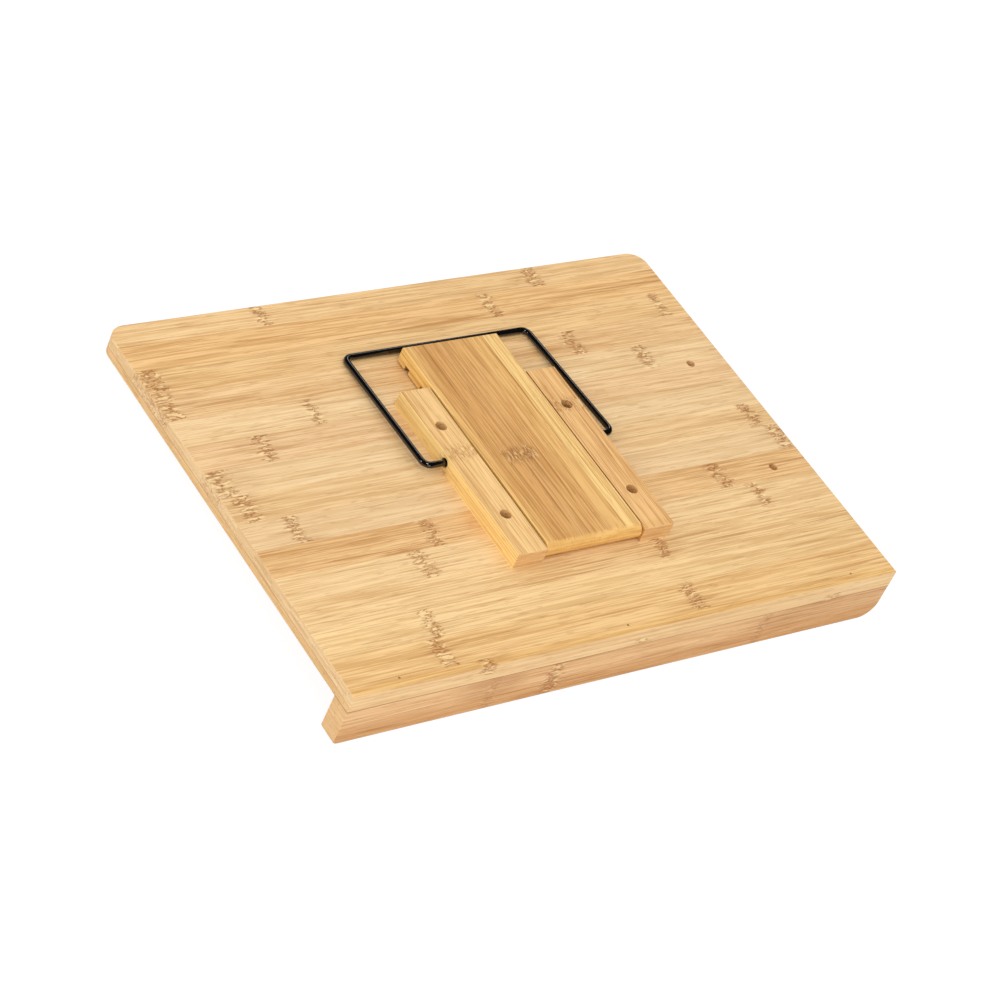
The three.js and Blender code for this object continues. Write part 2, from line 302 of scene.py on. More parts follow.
class Wiring:
    """Adds and joins nodes in one node tree."""

    def __init__(self, tree: bpy.types.NodeTree) -> None:
        """Keeps the tree that the nodes go into."""
        self.tree = tree

    def add(self, kind: str, **settings: object) -> bpy.types.Node:
        """A new node with some of its settings changed."""
        node = self.tree.nodes.new(kind)
        for name, value in settings.items():
            setattr(node, name, value)
        return node

    def plug(self, socket: Socket, value: object) -> None:
        """Links a socket to another one, or sets its value."""
        if isinstance(value, bpy.types.NodeSocket):
            self.tree.links.new(value, socket)
        else:
            socket.default_value = value

    def sum(self, operation: str, *values: object, clamp: bool = False) -> Socket:
        """One step of arithmetic.

        Args:
            operation: The Math node's operation.
            *values: Numbers or sockets.
            clamp: Whether the result stays between 0 and 1.

        Returns:
            The result.
        """
        node = self.add("ShaderNodeMath", operation=operation, use_clamp=clamp)
        for socket, value in zip(node.inputs, values):
            self.plug(socket, value)
        return node.outputs[0]

    def fade(self, value: object, start: object, end: object, low: float = 0.0, high: float = 1.0) -> Socket:
        """A smooth step.

        Args:
            value: The number that is looked at.
            start: Where the step begins.
            end: Where the step is complete.
            low: Result before the step.
            high: Result after the step.

        Returns:
            The stepped value.
        """
        node = self.add("ShaderNodeMapRange", interpolation_type="SMOOTHSTEP")
        for name, entry in (
            ("Value", value), ("From Min", start), ("From Max", end), ("To Min", low), ("To Max", high),
        ):
            self.plug(node.inputs[name], entry)
        return node.outputs[0]

    def stretch(
        self, vector: Socket, scale: Sequence[float], turn: float = 0.0
    ) -> Socket:
        """Scales coordinates by a factor for each axis, after a turn about Z.

        Args:
            vector: The coordinates.
            scale: Factor for each axis.
            turn: Angle about Z in degrees.

        Returns:
            The new coordinates.
        """
        node = self.add("ShaderNodeMapping")
        self.plug(node.inputs["Vector"], vector)
        node.inputs["Scale"].default_value = tuple(scale)
        node.inputs["Rotation"].default_value = (0.0, 0.0, math.radians(turn))
        return node.outputs[0]

    def noise(
        self, vector: Socket, seed: object, detail: float = 2.0, roughness: float = 0.5,
        distortion: float = 0.0,
    ) -> Socket:
        """Soft noise between 0 and 1 on coordinates that are already scaled.

        Args:
            vector: The coordinates.
            seed: Picks one of many patterns.
            detail: Number of finer layers.
            roughness: Strength of the finer layers.
            distortion: How far the pattern is bent.

        Returns:
            The noise value.
        """
        node = self.add("ShaderNodeTexNoise", noise_dimensions="4D")
        for name, value in (
            ("Vector", vector), ("W", seed), ("Scale", 1.0), ("Detail", detail),
            ("Roughness", roughness), ("Distortion", distortion),
        ):
            self.plug(node.inputs[name], value)
        return node.outputs[0]

    def blend(self, factor: object, first: object, second: object, how: str = "MIX") -> Socket:
        """Blends two colours.

        Args:
            factor: Share of the second colour.
            first: Colour or socket.
            second: Colour or socket.
            how: The blending mode.

        Returns:
            The blended colour.
        """
        node = self.add("ShaderNodeMix", data_type="RGBA", blend_type=how)
        self.plug(node.inputs[0], factor)
        self.plug(node.inputs[6], first)
        self.plug(node.inputs[7], second)
        return node.outputs[2]

    def place_group(self, group: bpy.types.NodeTree, **values: object) -> bpy.types.Node:
        """Puts a shared group into the tree, with its own values.

        Args:
            group: The shared node group.
            **values: Value or socket for each input, with _ for a space.

        Returns:
            The group's node.
        """
        node = self.add("ShaderNodeGroup", node_tree=group)
        for name, value in values.items():
            self.plug(node.inputs[name.replace("_", " ")], value)
        return node


def new_group(
    name: str, inputs: Sequence[tuple[str, str, float]], outputs: Sequence[str]
) -> tuple[Wiring, bpy.types.Node, bpy.types.Node]:
    """Starts a shared shader node group.

    Args:
        name: The group's name.
        inputs: Name, socket kind and default of each input.
        outputs: Names of the value outputs.

    Returns:
        The wiring, the group's input node and its output node.
    """
    tree = bpy.data.node_groups.new(name, "ShaderNodeTree")
    for label, kind, default in inputs:
        socket = tree.interface.new_socket(label, in_out="INPUT", socket_type=kind)
        if kind == "NodeSocketFloat":
            socket.default_value = default
    for label in outputs:
        tree.interface.new_socket(label, in_out="OUTPUT", socket_type="NodeSocketFloat")
    wiring = Wiring(tree)
    return wiring, wiring.add("NodeGroupInput"), wiring.add("NodeGroupOutput")


class Shared:
    """The effects that several finishes use, each built once."""

    fibres: bpy.types.NodeTree
    knuckle: bpy.types.NodeTree
    handling: bpy.types.NodeTree

    @classmethod
    def build(cls) -> None:
        """Builds all the shared groups."""
        cls.fibres = cls._fibres()
        cls.knuckle = cls._knuckle()
        cls.handling = cls._handling()

    @staticmethod
    def _fibres() -> bpy.types.NodeTree:
        """Bamboo fibres that run along X.

        Returns:
            A group with fine lines, wider streaks, a slow drift, sparse dark threads, short
            pores and the layers that show on sawn ends.
        """
        w, given, out = new_group(
            "bamboo fibres",
            [("Vector", "NodeSocketVector", 0.0), ("Seed", "NodeSocketFloat", 0.0)],
            ["Lines", "Streaks", "Drift", "Threads", "Pores", "Layers"],
        )
        vector, seed = given.outputs["Vector"], given.outputs["Seed"]
        fine = w.noise(w.stretch(vector, (38, 2000, 2000)), seed, 1.0, 0.5)
        middle = w.noise(w.stretch(vector, (22, 1100, 1100)), w.sum("ADD", seed, 3.1), 1.0, 0.5)
        lines = w.sum("ADD", w.sum("MULTIPLY", fine, 0.5), w.sum("MULTIPLY", middle, 0.5))
        w.plug(out.inputs["Lines"], w.fade(lines, 0.43, 0.57))
        streaks = w.noise(w.stretch(vector, (4, 110, 900)), w.sum("ADD", seed, 7.7), 5.0, 0.62)
        w.plug(out.inputs["Streaks"], w.fade(streaks, 0.34, 0.66))
        drift = w.noise(w.stretch(vector, (7, 30, 400)), w.sum("ADD", seed, 11.3), 1.0)
        w.plug(out.inputs["Drift"], w.fade(drift, 0.3, 0.7))
        threads = w.noise(w.stretch(vector, (15, 760, 760)), w.sum("ADD", seed, 17.9), 1.0, 0.5)
        w.plug(out.inputs["Threads"], w.fade(threads, 0.61, 0.66))
        pores = w.noise(w.stretch(vector, (110, 1100, 1100)), w.sum("ADD", seed, 23.0), 1.0)
        w.plug(out.inputs["Pores"], w.fade(pores, 0.6, 0.68))
        layers = w.noise(w.stretch(vector, (18, 18, 700)), w.sum("ADD", seed, 29.0), 3.0, 0.6)
        w.plug(out.inputs["Layers"], w.fade(layers, 0.3, 0.7))
        return w.tree

    @staticmethod
    def _knuckle() -> bpy.types.NodeTree:
        """The scar of a bamboo joint, a fuzzy band across the fibres.

        Returns:
            A group with the band, its brown and cream dashes and its trail along the grain.
        """
        w, given, out = new_group(
            "bamboo knuckle",
            [
                ("Vector", "NodeSocketVector", 0.0), ("Seed", "NodeSocketFloat", 0.0),
                ("Along", "NodeSocketFloat", 0.0), ("Half Length", "NodeSocketFloat", 0.005),
                ("Across", "NodeSocketFloat", 0.0), ("Half Width", "NodeSocketFloat", 1.0),
            ],
            ["Band", "Brown", "Cream", "Trail"],
        )
        vector, seed, half = given.outputs["Vector"], given.outputs["Seed"], given.outputs["Half Length"]
        parts = w.add("ShaderNodeSeparateXYZ")
        w.plug(parts.inputs[0], vector)
        sway = w.noise(w.stretch(vector, (40, 560, 560)), seed, 3.0, 0.7)
        sway = w.sum("MULTIPLY", w.sum("SUBTRACT", sway, 0.5), 0.016)
        along = w.sum("SUBTRACT", w.sum("ADD", parts.outputs[0], sway), given.outputs["Along"])
        reach = w.sum("ABSOLUTE", along)
        wander = w.noise(w.stretch(vector, (260, 90, 90)), w.sum("ADD", seed, 2.0), 2.0)
        wander = w.sum("MULTIPLY", w.sum("SUBTRACT", wander, 0.5), 0.008)
        sideways = w.sum("ABSOLUTE", w.sum(
            "SUBTRACT", w.sum("ADD", parts.outputs[1], wander), given.outputs["Across"],
        ))
        inside = w.fade(
            sideways, w.sum("MULTIPLY", given.outputs["Half Width"], 0.6),
            given.outputs["Half Width"], 1.0, 0.0,
        )
        band = w.fade(reach, w.sum("MULTIPLY", half, 0.45), w.sum("MULTIPLY", half, 1.15), 1.0, 0.0)
        band = w.sum("MULTIPLY", band, inside)
        curls = w.noise(w.stretch(vector, (150, 620, 620)), w.sum("ADD", seed, 5.0), 2.0, 0.6, 0.8)
        w.plug(out.inputs["Band"], band)
        ridge = w.sum("ABSOLUTE", w.sum("SUBTRACT", curls, 0.52))
        w.plug(out.inputs["Brown"], w.sum("MULTIPLY", w.fade(ridge, 0.014, 0.05, 1.0, 0.0), band))
        w.plug(out.inputs["Cream"], w.sum("MULTIPLY", w.fade(curls, 0.46, 0.40), band))
        tail = w.noise(w.stretch(vector, (26, 1000, 1000)), w.sum("ADD", seed, 9.0), 2.0, 0.6)
        far = w.fade(reach, half, w.sum("MULTIPLY", half, 4.5), 1.0, 0.0)
        trail = w.sum("MULTIPLY", w.sum("MULTIPLY", w.fade(tail, 0.52, 0.66), far), inside)
        w.plug(out.inputs["Trail"], trail)
        return w.tree

    @staticmethod
    def _handling() -> bpy.types.NodeTree:
        """Faint marks of handling on a satin or gloss surface.

        Returns:
            A group with soft smudges and fine scuffs.
        """
        w, given, out = new_group(
            "handling marks",
            [("Vector", "NodeSocketVector", 0.0), ("Seed", "NodeSocketFloat", 0.0)],
            ["Smudge", "Scuff"],
        )
        vector, seed = given.outputs["Vector"], given.outputs["Seed"]
        smudge = w.noise(w.stretch(vector, (38, 38, 38)), seed, 3.0, 0.6, 0.4)
        w.plug(out.inputs["Smudge"], w.fade(smudge, 0.35, 0.7))
        scuff = w.noise(w.stretch(vector, (420, 900, 900)), w.sum("ADD", seed, 4.0), 2.0, 0.7, 0.8)
        w.plug(out.inputs["Scuff"], w.fade(scuff, 0.6, 0.78))
        return w.tree


def new_material(name: str) -> tuple[bpy.types.Material, Wiring, bpy.types.Node, Socket]:
    """Starts a material.

    Args:
        name: The material's name.

    Returns:
        The material, its wiring, its Principled node and the object coordinates.
    """
    material = bpy.data.materials.new(name)
    material.use_nodes = True
    wiring = Wiring(material.node_tree)
    principled = material.node_tree.nodes["Principled BSDF"]
    return material, wiring, principled, wiring.add("ShaderNodeTexCoord").outputs["Object"]


class Grain(Enum):
    """The way that the fibres of a part run, as the turn that brings them to X."""

    ALONG_LEDGE = 0.0
    ALONG_RAILS = -90.0


@dataclass(frozen=True)
class Knuckle:
    """Where a bamboo joint crosses a part, in metres in the frame."""

    along: float
    half_length: float = 0.0045
    across: float = 0.0
    half_width: float = 1.0
    strength: float = 1.0


@dataclass(frozen=True)
class EdgeTone:
    """Another tone on the face of a part that lies at one level of an axis."""

    axis: int
    level: float
    tone: Colour
    depth: float = 0.35 * MM
    is_end: bool = False


@dataclass(frozen=True)
class Strip:
    """One narrow strip of a plate that is glued up on edge."""

    width: float
    tone: Colour


@dataclass(frozen=True)
class BambooFinish:
    """Bamboo under a thin satin lacquer."""

    name: str
    tone: Colour
    seed: float
    grain: Grain = Grain.ALONG_LEDGE
    knuckles: tuple[Knuckle, ...] = ()
    strips: tuple[Strip, ...] = ()
    strips_from: float = 0.0
    edges: tuple[EdgeTone, ...] = ()
    contrast: float = 1.0
    brown: Colour = (160, 94, 34)
    cream: Colour = (255, 226, 164)

    def material(self) -> bpy.types.Material:
        """Builds the finish.

        Returns:
            The new material.
        """
        made, w, surface, place = new_material(self.name)
        vector = w.stretch(place, (1, 1, 1), self.grain.value)
        fibres = w.place_group(Shared.fibres, Vector=vector, Seed=self.seed).outputs
        colour = self._strip_tones(w, place) if self.strips else linear(self.tone)
        axes = w.add("ShaderNodeSeparateXYZ")
        w.plug(axes.inputs[0], place)
        ends: object = 0.0
        for edge in self.edges:
            apart = w.sum("ABSOLUTE", w.sum("SUBTRACT", axes.outputs[edge.axis], edge.level))
            near = w.fade(apart, 0.4 * edge.depth, edge.depth, 1.0, 0.0)
            colour = w.blend(near, colour, linear(edge.tone))
            if edge.is_end:
                ends = w.sum("MAXIMUM", ends, near)
        along = w.sum("SUBTRACT", 1.0, ends)
        lines = w.sum(
            "ADD", w.sum("MULTIPLY", fibres["Lines"], along), w.sum("MULTIPLY", fibres["Layers"], ends),
        )
        threads = w.sum("MULTIPLY", fibres["Threads"], along)
        deep = w.blend(1.0, colour, (0.76, 0.63, 0.46, 1.0), "MULTIPLY")
        pale = w.blend(1.0, colour, (1.11, 1.15, 1.24, 1.0), "MULTIPLY")
        share = w.sum(
            "ADD", w.sum("MULTIPLY", lines, 0.6), w.sum("MULTIPLY", fibres["Streaks"], 0.4),
        )
        share = w.sum("MULTIPLY", w.sum("SUBTRACT", share, 0.5), 0.85 * self.contrast)
        share = w.sum("ADD", 0.68, share, clamp=True)
        base = w.blend(share, deep, pale)
        drifted = w.blend(1.0, base, (0.93, 0.88, 0.80, 1.0), "MULTIPLY")
        base = w.blend(w.sum("MULTIPLY", fibres["Drift"], 0.30), base, drifted)
        brown, cream = linear(self.brown), linear(self.cream)
        dark = w.blend(1.0, colour, (0.58, 0.40, 0.22, 1.0), "MULTIPLY")
        base = w.blend(w.sum("MULTIPLY", threads, 0.42 * self.contrast), base, dark)
        base = w.blend(w.sum("MULTIPLY", fibres["Pores"], 0.22), base, brown)
        height = w.sum("SUBTRACT", w.sum("MULTIPLY", lines, 0.6), w.sum("MULTIPLY", threads, 0.5))
        for number, knuckle in enumerate(self.knuckles):
            scar = w.place_group(
                Shared.knuckle, Vector=vector, Seed=self.seed * 1.7 + 5.3 * number, Along=knuckle.along,
                Half_Length=knuckle.half_length, Across=knuckle.across, Half_Width=knuckle.half_width,
            ).outputs
            base = w.blend(w.sum("MULTIPLY", scar["Band"], 0.16 * knuckle.strength), base, brown)
            base = w.blend(w.sum("MULTIPLY", scar["Trail"], 0.35 * knuckle.strength), base, brown)
            base = w.blend(w.sum("MULTIPLY", scar["Brown"], 0.78 * knuckle.strength), base, brown)
            base = w.blend(w.sum("MULTIPLY", scar["Cream"], 0.60 * knuckle.strength), base, cream)
            height = w.sum("SUBTRACT", height, w.sum("MULTIPLY", scar["Brown"], 0.8))
        w.plug(surface.inputs["Base Color"], base)
        marks = w.place_group(Shared.handling, Vector=vector, Seed=self.seed + 40).outputs
        rough = w.sum("ADD", 0.47, w.sum("MULTIPLY", marks["Smudge"], 0.10))
        rough = w.sum("ADD", rough, w.sum("MULTIPLY", threads, 0.12))
        w.plug(surface.inputs["Roughness"], rough)
        surface.inputs["Specular IOR Level"].default_value = 0.35
        bump = w.add("ShaderNodeBump")
        bump.inputs["Strength"].default_value = 0.5
        bump.inputs["Distance"].default_value = 0.00015
        w.plug(bump.inputs["Height"], height)
        w.plug(surface.inputs["Normal"], bump.outputs[0])
        return made

    def _strip_tones(self, w: Wiring, place: Socket) -> Socket:
        """The tone of each glued strip across the plate.

        Args:
            w: Wiring of the material.
            place: Object coordinates.

        Returns:
            The colour.
        """
        total = sum(strip.width for strip in self.strips)
        parts = w.add("ShaderNodeSeparateXYZ")
        w.plug(parts.inputs[0], place)
        offset = w.sum("SUBTRACT", parts.outputs[0], self.strips_from)
        ramp = w.add("ShaderNodeValToRGB")
        w.plug(ramp.inputs[0], w.sum("DIVIDE", offset, total))
        stops = ramp.color_ramp.elements
        stops[0].color, stops[1].color = linear(self.strips[0].tone), linear(self.strips[-1].tone)
        edge, soft = 0.0, 0.35 * MM / total
        for strip, after in zip(self.strips, self.strips[1:]):
            edge += strip.width
            glue = tuple(int(0.9 * c) for c in strip.tone)
            for shift, tone in ((-soft, strip.tone), (0.0, glue), (soft, after.tone)):
                stops.new(edge / total + shift).color = linear(tone)
        return ramp.outputs[0]


@dataclass(frozen=True)
class GlossPaint:
    """Glossy paint on wire, slightly uneven as dipped paint is."""

    name: str
    tone: Colour

    def material(self) -> bpy.types.Material:
        """Builds the finish.

        Returns:
            The new material.
        """
        made, w, surface, place = new_material(self.name)
        marks = w.place_group(Shared.handling, Vector=place, Seed=3.0).outputs
        w.plug(surface.inputs["Base Color"], w.blend(
            w.sum("MULTIPLY", marks["Smudge"], 0.5), linear(self.tone), linear((9, 7, 7)),
        ))
        rough = w.sum("ADD", 0.08, w.sum("MULTIPLY", marks["Smudge"], 0.05))
        w.plug(surface.inputs["Roughness"], w.sum("ADD", rough, w.sum("MULTIPLY", marks["Scuff"], 0.1)))
        surface.inputs["Specular IOR Level"].default_value = 0.9
        bump = w.add("ShaderNodeBump")
        bump.inputs["Strength"].default_value = 0.12
        bump.inputs["Distance"].default_value = 0.0001
        w.plug(bump.inputs["Height"], w.sum("ADD", marks["Smudge"], marks["Scuff"]))
        w.plug(surface.inputs["Normal"], bump.outputs[0])
        return made


@dataclass(frozen=True)
class SteelFinish:
    """Plain or blackened steel with a drawn or machined surface."""

    name: str
    bright: Colour
    dull: Colour
    seed: float

    def material(self) -> bpy.types.Material:
        """Builds the finish.

        Returns:
            The new material.
        """
        made, w, surface, place = new_material(self.name)
        marks = w.place_group(Shared.handling, Vector=place, Seed=self.seed).outputs
        smudge, scuff = w.sum("MULTIPLY", marks["Smudge"], 0.6), w.sum("MULTIPLY", marks["Scuff"], 0.4)
        worn = w.sum("ADD", smudge, scuff, clamp=True)
        w.plug(surface.inputs["Base Color"], w.blend(worn, linear(self.bright), linear(self.dull)))
        w.plug(surface.inputs["Roughness"], w.sum("ADD", 0.3, w.sum("MULTIPLY", worn, 0.3)))
        surface.inputs["Metallic"].default_value = 1.0
        bump = w.add("ShaderNodeBump")
        bump.inputs["Strength"].default_value = 0.2
        bump.inputs["Distance"].default_value = 0.00005
        w.plug(bump.inputs["Height"], marks["Scuff"])
        w.plug(surface.inputs["Normal"], bump.outputs[0])
        return made


# ------------------------------------------------------------------ the board


@dataclass(frozen=True)
class StaveLook:
    """Tone of a stave and how far its knuckles are from the left end, in mm."""

    tone: Colour
    knuckles: tuple[float, ...] = ()
    contrast: float = 1.0


BACK_LOOKS: tuple[StaveLook, ...] = (
    StaveLook((232, 188, 120), (77.5,), 1.1),
    StaveLook((233, 191, 129), (58.75, 211.0), 1.1),
    StaveLook((234, 197, 138), (62.5,)),
    StaveLook((233, 195, 138), (215.0,), 1.2),
    StaveLook((233, 196, 140), (81.0, 296.0), 0.9),
    StaveLook((228, 184, 125), (96.0, 280.0), 1.3),
    StaveLook((233, 198, 147), (27.5, 335.0), 0.7),
    StaveLook((234, 197, 142), (11.0, 327.5), 0.9),
    StaveLook((233, 199, 147), (6.0,), 0.7),
    StaveLook((230, 190, 138), (40.0,), 0.9),
    StaveLook((234, 199, 146), (79.0, 291.0), 0.8),
    StaveLook((231, 190, 134), (5.0, 254.0), 1.1),
    StaveLook((231, 190, 130), (6.0, 326.0), 1.1),
    StaveLook((231, 186, 124), (222.5,), 1.3),
    StaveLook((233, 193, 135), (87.5, 261.0)),
)


@dataclass
class Drill:
    """A drill that enters a part from one side, with an eased mouth unless its rim is 0."""

    radius: float
    depth: float
    rim: float = 0.2 * MM
    tip: float = 0.0

    def at(self, mouth: Vector, into: Vector, steps: int = 32) -> Workpiece:
        """The shape that the drill cuts.

        Args:
            mouth: Middle of the hole where it meets the surface.
            into: Direction in which the drill goes.
            steps: Number of faces round the hole.

        Returns:
            The cutter in its place.
        """
        over = 1 * MM
        mouth_profile = [(0.0, -over), (self.radius, -over)]
        if self.rim > 0.0:
            wide = self.radius + self.rim
            mouth_profile = [(0.0, -over), (wide + over, -over), (wide, 0.0), (self.radius, self.rim)]
        profile = [*mouth_profile, (self.radius, self.depth), (0.0, self.depth + self.tip)]
        turn = Vector((0, 0, 1)).rotation_difference(into).to_matrix().to_4x4()
        return Workpiece.turned(profile, steps).place(Matrix.Translation(mouth) @ turn)


@dataclass
class BoardPanel:
    """The reading board: two plies of staves with their grain along the ledge."""

    top_radius: float = 10 * MM
    rim: float = 0.6 * MM
    near_corner: float = 0.5 * MM
    seam: float = 0.05 * MM
    end_tone: Colour = (230, 194, 142)
    lower_end_tone: Colour = (227, 185, 126)
    near_tone: Colour = (231, 193, 138)
    glue_tone: Colour = (184, 134, 80)
    glue_line: float = 0.22 * MM
    ledge_joint_tone: Colour = (166, 114, 64)
    ledge_joint: float = 0.55 * MM
    side_hole: Drill = field(default_factory=lambda: Drill(2.45 * MM, 12 * MM, 0.15 * MM))
    side_hole_inset: float = 23.6 * MM
    side_hole_rise: tuple[float, ...] = (82.6 * MM, 162 * MM)
    pilot: Drill = field(default_factory=lambda: Drill(1.6 * MM, 9.4 * MM, 0.0))
    brad_hole: Drill = field(default_factory=lambda: Drill(0.65 * MM, 25.3 * MM, 0.0))

    def build(self) -> None:
        """Makes and dresses every stave of both plies."""
        low, high = node_box("back_stave_01")
        _, far = node_box("back_stave_15")
        self.low, self.high = low, Vector((high.x, far.y, far.z))
        self._ply("back_stave", BACK_LOOKS, outer_is_top=True)
        self._ply("front_stave", self._front_looks(), outer_is_top=False)

    def _front_looks(self) -> tuple[StaveLook, ...]:
        """Looks for the book side, which are mixed from the same kinds of stave."""
        dice = random.Random(11)
        looks = []
        for _ in range(15):
            kin = dice.choice(BACK_LOOKS)
            first = dice.uniform(10, 200)
            marks = (first,) if dice.random() < 0.4 else (first, first + dice.uniform(90, 135))
            looks.append(StaveLook(kin.tone, marks, kin.contrast))
        return tuple(looks)

    def _bits(self, top: bool) -> list[Workpiece]:
        """The cutters for the holes of one ply.

        Args:
            top: Whether it is the ply on the back of the board.

        Returns:
            The cutters in their places.
        """
        down = Vector((0, 0, -1))
        back = self.high.z
        bits = []
        drilling = (("rail_screw", 4, self.pilot, 20), ("ledge_brad", 3, self.brad_hole, 12))
        for fixing, count, tool, steps in drilling:
            for number in range(1, count + 1):
                middle = middle_of(f"{fixing}_{number}")
                bits.append(tool.at(Vector((middle.x, middle.y, back)), down, steps))
        if top:
            x = self.high.x - self.side_hole_inset
            bits += [self.side_hole.at(Vector((x, self.low.y + y, back)), down) for y in self.side_hole_rise]
        return bits

    def _ply(self, prefix: str, looks: Sequence[StaveLook], outer_is_top: bool) -> None:
        """Makes one ply: a blank with eased rims, sawn into its staves.

        Args:
            prefix: Start of the node names.
            looks: The look of each stave.
            outer_is_top: Whether the outer face is the one with the larger Z.
        """
        boxes = [node_box(f"{prefix}_{n:02d}") for n in range(1, 16)]
        low = boxes[0][0]
        high = Vector((boxes[0][1].x, boxes[-1][1].y, boxes[0][1].z))
        face = high.z if outer_is_top else low.z
        blank = Workpiece.block(low, high)
        for side in (-1, 1):
            blank.ease(
                lambda p, s=side: p.y > high.y - HAIR and abs(p.x - s * high.x) < HAIR, self.top_radius, 14,
            )
            blank.ease(
                lambda p, s=side: p.y < low.y + HAIR and abs(p.x - s * high.x) < HAIR, self.near_corner, 3,
            )
        glued = low.y - 1.0 if outer_is_top else low.y + HAIR
        blank.ease(lambda p: abs(p.z - face) < HAIR and p.y > glued, self.rim, 3)
        bits = self._bits(outer_is_top)
        for number, ((stave_low, stave_high), look) in enumerate(zip(boxes, looks), start=1):
            name = f"{prefix}_{number:02d}"
            stave = blank.copy()
            if number > 1:
                stave.saw(Vector((0, stave_low.y, 0)), Vector((0, -1, 0)))
            if number < 15:
                stave.saw(Vector((0, stave_high.y, 0)), Vector((0, 1, 0)))
            for seam_y in (stave_low.y, stave_high.y):
                if low.y + HAIR < seam_y < high.y - HAIR:
                    stave.ease(
                        lambda p, y=seam_y: abs(p.y - y) < HAIR and abs(p.z - face) < self.rim + HAIR,
                        self.seam, 1,
                    )
            made = drill(stave.to_object(f"{name}_bamboo"), bits)
            finish_shading(made)
            knuckles = tuple(
                Knuckle(
                    low.x + mark * MM,
                    (0.0068 if mark < 15 else 0.0047) + 0.0008 * math.sin(7.3 * mark),
                )
                for mark in look.knuckles
            )
            seed = number * 3.17 + (0.0 if outer_is_top else 71.0)
            glue = low.z if outer_is_top else high.z
            end_tone = self.end_tone if outer_is_top else self.lower_end_tone
            edges = (EdgeTone(0, low.x, end_tone, is_end=True), EdgeTone(0, high.x, end_tone, is_end=True))
            if number == 1:
                edges += (EdgeTone(1, low.y, self.near_tone, is_end=True),)
            if number > 1:
                edges += (EdgeTone(2, glue, self.glue_tone, self.glue_line),)
            elif not outer_is_top:
                edges += (EdgeTone(2, low.z, self.ledge_joint_tone, self.ledge_joint),)
            finish = BambooFinish(
                f"{name} bamboo", look.tone, seed, knuckles=knuckles, contrast=look.contrast, edges=edges,
            )
            fit(made, "board", name, finish.material())
        blank.bm.free()


